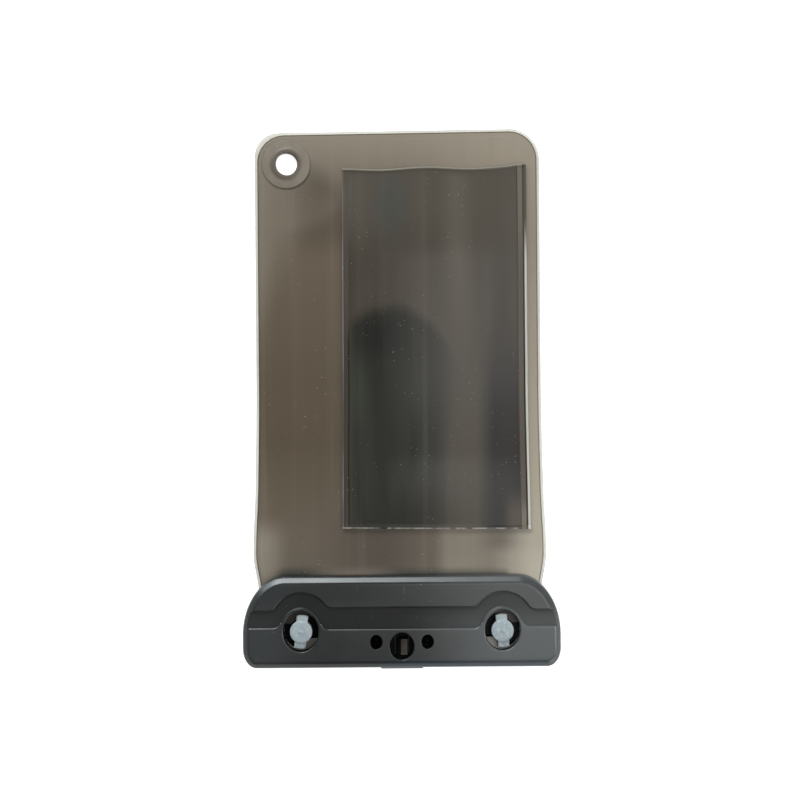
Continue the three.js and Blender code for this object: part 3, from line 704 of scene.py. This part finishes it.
def bar_outline():
    """Both bars' outline: wide shoulders towards the films, tighter corners at the foot. They are rounded while
    it is squat, so that stretching it makes them taller than they are wide."""
    stretch = 1.38
    squat = bar_height / stretch
    bm = bmesh.new()
    bmesh.ops.create_grid(bm, x_segments=1, y_segments=1, size=0.5)
    bmesh.ops.scale(bm, verts=bm.verts, vec=(bar_width, squat, 1))
    bmesh.ops.translate(bm, verts=bm.verts, vec=(0, squat / 2, 0))
    curve = {"offset_type": "OFFSET", "profile_type": "SUPERELLIPSE", "affect": "VERTICES", "material": -1}
    for low, by, segments in ((False, 16, 18), (True, 5.2, 12)):
        at_y = 0 if low else squat
        at_sides = [v for v in bm.verts if abs(v.co.x) > bar_width / 2 - 0.1]
        corners = [v for v in at_sides if abs(v.co.y - at_y) < 1e-5]
        bmesh.ops.bevel(bm, geom=corners, offset=by, segments=segments, profile=0.5, **curve)
    bmesh.ops.scale(bm, verts=bm.verts, vec=(1, stretch, 1))
    return bm


def in_millimetres(bm):
    """Scales a solid that was made in metres, so that its numbers are millimetres."""
    bmesh.ops.scale(bm, verts=bm.verts, vec=(1 / mm, 1 / mm, 1 / mm))
    return bm


def placed(bm, x=0.0, y=0.0, turn=0.0):
    """Turns a solid in its own millimetres, and brings it to its place on the clamp, in metres."""
    to_clamp = Matrix.Scale(mm, 4) @ Matrix.Translation((x, y - clamp_foot, 0))
    bmesh.ops.transform(bm, verts=bm.verts, matrix=to_clamp @ Matrix.Rotation(radians(turn), 4, "Z"))
    return bm


def groove():
    """The groove's outline. Its upper edge steps up in the middle and humps over each lock. Its lower edge
    steps down in the middle and runs close round each lock hole."""
    upper, upper_mid = 21.9, 23.0
    hump, blend, hump_y = 11.5, 3.5, lock_hole_y + 3
    outline = Outline(-bar_width, upper)
    for x, before, after in ((-lock_x, upper, upper_mid), (lock_x, upper_mid, upper)):
        for side, level in ((-1, before), (1, after)):
            rise = level + blend - hump_y
            beside = sqrt((hump + blend) ** 2 - rise**2)
            meet = degrees(asin(rise / (hump + blend)))
            if side < 0:
                outline.line(x - beside, level).arc(x - beside, level + blend, 90 - meet)
                first = meet
            else:
                outline.arc(x, hump_y, first + meet - 180, 24)
                outline.arc(x + beside, level + blend, 90 - meet)
    lower, lower_mid = 15.4, 14.8
    bend, round_hole = 3, 11.3
    outline.line(bar_width, upper).line(bar_width, lower)
    for x, before, after in ((lock_x, lower, lower_mid), (-lock_x, lower_mid, lower)):
        for side, level in ((1, before), (-1, after)):
            rise = level + bend - lock_hole_y
            beside = sqrt(round_hole**2 - rise**2)
            swing = pi / 2 - asin(rise / round_hole)
            if side > 0:
                outline.line(x + beside, level)
            else:
                outline.line(x - beside + bend * sin(swing), level + bend - bend * cos(swing))
            outline.arc(x + side * beside, level + bend, -degrees(swing), 8)
    return outline.line(-bar_width, lower).filled()


def ledge_slot(side, start, x):
    """A quarter of a lock hole's floor that lets the key's wing down: 65 degrees, from the open wing on."""
    reach, start = 6.6, radians(start)
    outline = Outline(x, lock_y).line(x + side * reach * cos(start), lock_y + reach * sin(start))
    return outline.arc(x, lock_y, side * 65, 12).line(x, lock_y).filled()


def satin_black(name, rubbing_and_foot_sheen, dark=(25, 28, 29), light=(36, 38, 38), sheen=0.25, gloss=0.5):
    """Black moulded plastic: fine grain, faint flow lines, a little dust and, on a handled face, light rubs."""
    material, tone = new_material(name)
    place = tone.node("TexCoord", {}, {}, "Object")
    cloud = place.stretched(70, 110, 90).grain(3.0)
    colour = cloud.colours(paint(*dark), paint(*light))
    x, y = place.along(0), place.along(1)

    # Painted sheen at both ends, painted shade left of the middle, a painted cool reflection at the right of the
    # foot, and a painted sheen along the foot's edge.
    end_sheen = (x + cloud * 8).rises(2, 44).maths("MAXIMUM", (x + cloud * 6).rises(-30, -50) * 0.25)
    end_sheen = end_sheen * (1 - y.rises(-86, -77) * 0.5)
    colour = end_sheen.colours(colour, paint(*[value + 44 for value in light]))
    dim = (x + cloud * 8).line(-14, 52) * y.rises(-79, -75)
    colour = (dim * 0.6).colours(colour, paint(10, 11, 12))
    cool = y.rises(-97.5, -101) * x.rises(-20, 10)
    colour = (cool * 0.6).colours(colour, paint(42, 56, 66))
    foot_sheen = (y + x.line(0, 30) * 0.2).rises(-clamp_foot, -clamp_foot - 0.5) * rubbing_and_foot_sheen
    colour = foot_sheen.colours(colour, paint(112, 122, 130))

    rubs = place.stretched(500, 160, 300).grain(5.0, 0.65).rises(0.62, 0.78)
    colour = (rubs * rubbing_and_foot_sheen).colours(colour, paint(84, 88, 90))
    dust = specks(place, 2.2, 0.08)
    colour = (dust * 0.7).colours(colour, paint(150, 152, 152))
    fine = place.stretched(3600, 3600, 3600).grain(2.0)
    bump = tone.node("Bump", {}, {"Strength": 0.22, "Distance": 0.00006, "Height": fine + dust * 4})
    sockets = {"Base Color": colour, "Roughness": sheen + cloud * 0.1 + rubs * 0.06, "Normal": bump}
    sockets |= {"Specular IOR Level": gloss}
    tone.surface(sockets)
    return material


shoulder = [(3.0, 0), (2.5, 0.03), (2.1, 0.14), (1.8, 0.32), (1.55, 0.56)]
shoulder += [(0.45, 1.88), (0.25, 2.2), (0.1, 2.6), (0, 3.1)]
blank = raised(bar_outline(), [(rear_inner, 0), *((rear_face - drop, -inset) for drop, inset in shoulder)])

# The groove's core stops short of a raised rim round each lock hole.
rim_levels = [(10, 0.3), (rear_face - groove_depth, 0.3), *rounding(rear_face + 0.001, 0.3, 4)[1:], (17, -0.3)]
rims = [raised(oval(15.5, 17.5, x, lock_hole_y), rim_levels) for x in (-lock_x, lock_x)]
channel = [(height, growth - 0.2) for height, growth in rounding(rear_face, groove_depth, 6, 1)]
cores = [cut(raised(groove(), channel + [(rear_face + 2, 0.5)]), *rims)]

# Each lock hole and the snap's hole is a wide core down to a floor, and narrower ones up through that floor from
# under the bar. The pins' holes and the two channels start under it too.
under = 8
for side in (1, -1):
    x = -side * lock_x
    cores.append(core(oval(*lock_hole, x, lock_hole_y), ledge_height, rear_face, 0.5))
    cores.append(raised(oval(9.0, 9.0, x, lock_y), [(under, 0), (ledge_height + 1, 0)]))
    for start in (0, 180):
        cores.append(raised(ledge_slot(side, start, x), [(under, 0), (ledge_height + 0.5, 0)]))
    wing_slot = oblong(x - 6.4, x + 6.4, lock_y - 2.75, lock_y + 2.75)
    cores.append(raised(wing_slot, [(under, 0), (ledge_height + 0.7, 0)]))
    cores.append(core(oval(4.6, 5.4, side * pin_x, pin_y, 40), under, rear_face, 0.25))
cores.append(core(oval(9.2, 10.3, 0, snap_y), 12.2, rear_face, 0.3))
cores.append(raised(oblong(-2.65, 2.75, 4.2, 11.4), [(under, 0), (13, 0)]))
cores.append(raised(oblong(*seal_channel), [(under, 0), (rear_inner + 1.15, 0)]))
cores.append(raised(oblong(*keeper_channel), [(under, 0), (rear_inner + 1.4, 0)]))
black = satin_black("satin_black", 0.25)
rear = make_piece("rear_clamp_bar", placed(cut(blank, *cores)), black, "black_plastic", "pouch", "rear_bar")

# Less light reaches the groove's floor and the holes. The lower ledges catch more of it than the upper ones.
finishes = {
    "groove": (0.1, (17, 18, 18), (25, 26, 26), 0.36, 0.3),
    "upper_ledge": (0.2, (26, 23, 21), (36, 32, 29), 0.5, 0.4),
    "deep": (0, (3, 4, 5), (8, 9, 10), 0.6, 0.1),
    "lower_ledge": (0.2, (84, 82, 77), (104, 101, 96), 0.5),
}
for where, finish in finishes.items():
    rear.data.materials.append(satin_black(f"{where}_black", *finish))
finish_of = {where: number for number, where in enumerate(finishes, 1)}


def on_clamp(flat):
    """A face's middle, in millimetres on the clamp."""
    return flat.center.x / mm, flat.center.y / mm + clamp_foot, flat.center.z / mm


groove_floor = rear_face - groove_depth
for flat in rear.data.polygons:
    x, y, z = on_clamp(flat)
    in_snap_hole = hypot(x, y - snap_y) < 5.2
    in_pin_hole = hypot(abs(x) - pin_x, y - pin_y) < 2.8
    in_lock_hole = hypot(abs(x) - lock_x, y - lock_hole_y) < 7.8
    if z > groove_floor + 0.1:
        continue
    if flat.normal.z < 0.99:
        where = "deep" if z > 10 and (in_snap_hole or in_pin_hole or in_lock_hole) else None
    elif z > groove_floor - 0.1:
        where = "groove"
    elif z > ledge_height - 0.2:
        where = "upper_ledge" if y > lock_y else "lower_ledge"
    else:
        where = "deep"
    if where:
        flat.material_index = finish_of[where]

# The front bar: the other half of the clamp, in the same plastic. It has a tray along its inner face for the
# films, a thumb tab at its foot, the snap that hooks the rear bar, two pins, and a round recess for each dial.
# Its inner face lies a little lower under each lock hole.
front_face, front_inner = 2.0, 9.5
past_inner = 11
corner = 3.0
fillet = rounding(front_face + corner, corner, 10)
fillet = [(2 * front_face + corner - height, growth) for height, growth in fillet]
blank = raised(bar_outline(), [(front_inner, 0), *fillet])
dish = [(2 * front_face - height, growth) for height, growth in rounding(front_face, 0.3, 4, 1)]
cores = []
for x in (-lock_x, lock_x):
    cores.append(raised(oval(19.6, 19.6, x, lock_y, 96), [(3.6, 0), *dish, (front_face - 3, 0.3)]))
    cores.append(raised(oval(6.2, 6.2, x, lock_y, 40), [(3, 0), (past_inner, 0)]))
    cores.append(raised(oval(*lock_hole, x, lock_hole_y), [(front_inner - 0.1, 0), (past_inner, 0)]))
cores.append(raised(oblong(-55.5, 55.5, film_mouth - 0.2, 40), [(8.2, 0), (past_inner, 0)]))
cores.append(raised(oblong(*seal_channel), [(7.05, 0), (9, 0)]))
cores.append(raised(oblong(*keeper_channel), [(6.8, 0), (9, 0)]))
body = cut(blank, *cores)
tab = Outline(-8.95, 3).line(-8.95, 0).line(-7.85, -1.6)
tab = tab.line(7.85, -1.6).line(8.95, 0).line(8.95, 3).filled()
tab = raised(tab, [(6.0, -0.5), (6.15, -0.15), (6.5, 0), *rounding(front_inner - 0.02, 1.1, 6)])
pin = [(0, 9), (2.9, 9), (2.9, 9.6), (2.8, 9.7), (1.8, 9.75), (1.8, 10.4), (0.4, 12.4), (0, 12.5)]
pins = []
for x in (-pin_x, pin_x):
    pins.append(in_millimetres(turned(pin, 32)))
    bmesh.ops.translate(pins[-1], verts=pins[-1].verts, vec=(x, pin_y, 0))
hook = Outline(-0.95, 8.5).line(2.35, 8.5).line(2.35, 13.6).line(2.05, 13.9).line(-0.3, 13.9)
hook = hook.line(-2.1, 12.8).line(-2.25, 12.65).line(-2.25, 12.5).line(-0.95, 12.5).filled()
hook = raised(hook, [(0, -0.2), (0.2, 0), (6.2, 0), (6.4, -0.2)])
upright = Matrix.Translation((0, 11.0, 0)) @ Matrix.Rotation(radians(90), 4, "X")
bmesh.ops.transform(hook, verts=hook.verts, matrix=upright)
front_solid = placed(joined(body, tab, *pins, hook))
front_black = satin_black("satin_black_front", 0.45)
front_bar = make_piece("front_clamp_bar", front_solid, front_black, "black_plastic", "pouch", "front_bar")
front_bar.data.materials.append(satin_black("snap_black", 0.1, (44, 38, 32), (56, 49, 42), 0.5))
front_bar.data.materials.append(rear.data.materials[finish_of["deep"]])
# Painted shade: the pins and the snap, which stand up into the rear bar's holes, and the floor under each lock
# take the near-black deep finish. The snap's flat top takes a brown one.
for flat in front_bar.data.polygons:
    x, y, z = on_clamp(flat)
    under_lock = 5 < z < front_inner - 0.05 and hypot(abs(x) - lock_x, y - lock_y) < 7
    on_pin = z > front_inner + 0.01 and hypot(abs(x) - pin_x, y - pin_y) < 3
    snap_top = z > 13 and flat.normal.z > 0.99
    if z > 10 or on_pin or under_lock:
        flat.material_index = 1 if snap_top else 2


# The strips inside the clamp, which stay as packed: a rubber seal in each bar, crowned towards the films, and a
# stiff strip that holds each film in its bar.
def seal_rubber():
    material, tone = new_material("seal_rubber")
    place = tone.node("TexCoord", {}, {}, "Object")
    cloud = place.stretched(300, 900, 900).grain(3.0)
    fine = place.stretched(4000, 4000, 4000).grain(2.0)
    colour = cloud.colours(paint(46, 48, 50), paint(64, 66, 68))
    bump = tone.node("Bump", {}, {"Strength": 0.3, "Distance": 0.00005, "Height": fine})
    sockets = {"Base Color": colour, "Roughness": 0.72 + cloud * 0.16, "Normal": bump}
    tone.surface(sockets)
    return material


def strip_plastic():
    material, tone = new_material("strip_plastic")
    place = tone.node("TexCoord", {}, {}, "Object")
    cloud = place.stretched(120, 700, 700).grain(3.0)
    drawn = place.stretched(20, 5000, 5000).grain(2.0)
    colour = cloud.colours(paint(178, 174, 162), paint(196, 193, 182))
    bump = tone.node("Bump", {}, {"Strength": 0.2, "Distance": 0.00004, "Height": drawn})
    sockets = {"Base Color": colour, "Roughness": 0.42 + cloud * 0.14, "Normal": bump}
    tone.surface(sockets)
    return material


def refinish(material, *nodes):
    """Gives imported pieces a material, and leaves them as they are."""
    for node in nodes:
        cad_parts[node].data.materials.clear()
        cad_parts[node].data.materials.append(material)


refinish(seal_rubber(), "rear_seal", "front_seal", "left_lock_ring", "right_lock_ring")
refinish(strip_plastic(), "rear_keeper", "front_keeper")


# The locks: in each, a grey moulded key reaches up through both bars from a dial in the front bar's face. A
# quarter turn of the dial swings the key's two wings over the rear bar's ledges. A small screw joins the two,
# and the rubber ring between dial and bar, which stays as packed, gives the turn its drag.
def grey_moulding(name, mark):
    material, tone = new_material(name)
    place = tone.node("TexCoord", {}, {}, "Object")
    cloud = place.stretched(260, 260, 260).grain(4.0)
    colour = cloud.colours(paint(129, 140, 144), paint(159, 170, 173))
    # Painted light above the lock's middle and painted shade below it.
    y = place.along(1)
    colour = (y.rises(-86, -82) * 0.5).colours(colour, paint(186, 194, 194))
    colour = (y.rises(-91, -95) * 0.5).colours(colour, paint(112, 118, 123))
    rubs = place.stretched(1900, 700, 1200).grain(5.0, 0.7).rises(0.5, 0.72)
    colour = (rubs * mark).colours(colour, paint(200, 206, 207))
    fine = place.stretched(3000, 3000, 3000).grain(2.0)
    bump = tone.node("Bump", {}, {"Strength": 0.3, "Distance": 0.00006, "Height": fine + rubs * 0.6})
    sockets = {"Base Color": colour, "Roughness": 0.4 + cloud * 0.16, "Normal": bump}
    tone.surface(sockets)
    return material


def screw_steel():
    material, tone = new_material("screw_steel")
    place = tone.node("TexCoord", {}, {}, "Object")
    cloud = place.stretched(900, 900, 900).grain(3.0)
    sockets = {"Base Color": cloud.colours(paint(176, 178, 180), paint(204, 205, 206)), "Metallic": 1.0}
    sockets |= {"Roughness": 0.26 + cloud * 0.2}
    tone.surface(sockets)
    return material


def disc_core(width, steps, *levels):
    """What cuts a round hole about a lock's own axis."""
    return raised(oval(width, width, 0, 0, steps), levels)


key_grey = grey_moulding("key_grey", 0.7)
dial_grey = grey_moulding("dial_grey", 0.35)
steel = screw_steel()
half_wing, wing_reach = 2.15, 6.4
flank = asin(half_wing / wing_reach)
screw_bore = (2.4, 24, (0, 0), (7.45, 0))
for lock, side in (("left_lock", 1), ("right_lock", -1)):
    seat = {"x": -side * lock_x, "y": lock_y, "turn": -side * 5}

    # The key: a turned stem and head, a pair of wings, and a square tenon for the dial.
    stem = [(0, 3.6), (2.8, 3.6), (2.8, 9.8), (3.9, 9.8), (3.9, 10.6), (2.8, 10.6), (2.8, 12.9)]
    head = [(4.0, 12.9), (4.2, 13.1), *round_over(3.85, 14.75, 0.35, 0, 80, 5), (3.0, 15.16), (1.2, 15.2)]
    head += [(0.75, 15.2), (0.6, 15.27), (0.3, 15.38), (0, 15.4)]
    wings = Outline(half_wing, 0).line(half_wing, wing_reach * cos(flank)).arc(0, 0, 2 * degrees(flank), 8)
    wings = wings.line(-half_wing, -wing_reach * cos(flank)).arc(0, 0, 2 * degrees(flank), 8)
    wings = raised(wings.line(half_wing, 0).filled(), [(12.9, -0.15), (13.05, 0), *rounding(14.7, 0.35, 5)])
    tenon = cut(raised(oblong(-1.9, 1.9, -1.9, 1.9), [(1.9, 0), (4.6, 0)]), disc_core(*screw_bore))
    key = joined(cut(in_millimetres(turned(stem + head, 72)), disc_core(*screw_bore)), wings, tenon)
    make_piece(f"{lock}_winged_key", placed(key, **seat), key_grey, "grey_plastic", lock, f"{lock}_key")

    # The dial: a disc with a fluted grip, a socket for the tenon, a well for the screw's head, a track for the
    # rubber ring and a lug that stops the turn.
    disc = [(0, 3.3), (9.3, 3.3), *round_over(9.3, 3.1, 0.2, 90, 0)]
    disc += [*round_over(9.0, 1.9, 0.5, 0, -90), (0, 1.4)]
    disc = in_millimetres(turned(disc, 96))
    socket = raised(oblong(-2.1, 2.1, -2.1, 2.1), [(1.7, 0), (4, 0)])
    track = cut(disc_core(12.0, 72, (2.2, 0), (4, 0)), disc_core(8.8, 72, (1, 0), (5, 0)))
    disc = cut(disc, socket, disc_core(4.2, 40, (-1, 0), (1.05, 0)), track)
    grip = Outline(5.2, -3.3).arc(5.2, 0, 180, 16).line(-5.2, 3.3).arc(-5.2, 0, 180, 16).filled()
    eases = [(1.75, 0.5), (1.45, 0.12), (1.2, 0), (0.5, -0.15), (0.2, -0.3), (0.04, -0.6), (0, -0.95)]
    flutes = []
    for x in (-6.0, -4.0, -2.0, 2.0, 4.0, 6.0):
        for y in (-3.5, 3.5):
            flutes.append(raised(oval(1.2, 1.0, x, y, 20), [(-0.5, 0.1), (1.3, 0)]))
    grip = cut(raised(grip, eases), *flutes, disc_core(4.2, 40, (1.05, 0), (0.25, 0), (-0.5, 0.3)))
    lug = in_millimetres(turned([(0, 2.3), (0.8, 2.3), (0.8, 4.4), (0.7, 4.5), (0, 4.5)], 20))
    bmesh.ops.translate(lug, verts=lug.verts, vec=(side * 7.6, 0, 0))
    dial = joined(disc, grip, lug)
    make_piece(f"{lock}_finger_dial", placed(dial, **seat), dial_grey, "grey_plastic", lock, f"{lock}_dial")

    # The screw, from below, with a cross cut in its head.
    screw = [(0, 0.15), (1.5, 0.15), (1.78, 0.25), (1.9, 0.6), (1.9, 0.85), (1.0, 0.85), (1.0, 6.15), (0, 7.15)]
    cross = [oblong(-a, a, -b, b) for a, b in ((1.15, 0.25), (0.25, 1.15))]
    screw = cut(in_millimetres(turned(screw, 40)), *(raised(slot, [(-1, 0), (0.6, -0.05)]) for slot in cross))
    make_piece(f"{lock}_cross_screw", placed(screw, **seat), steel, "steel", lock, f"{lock}_screw")
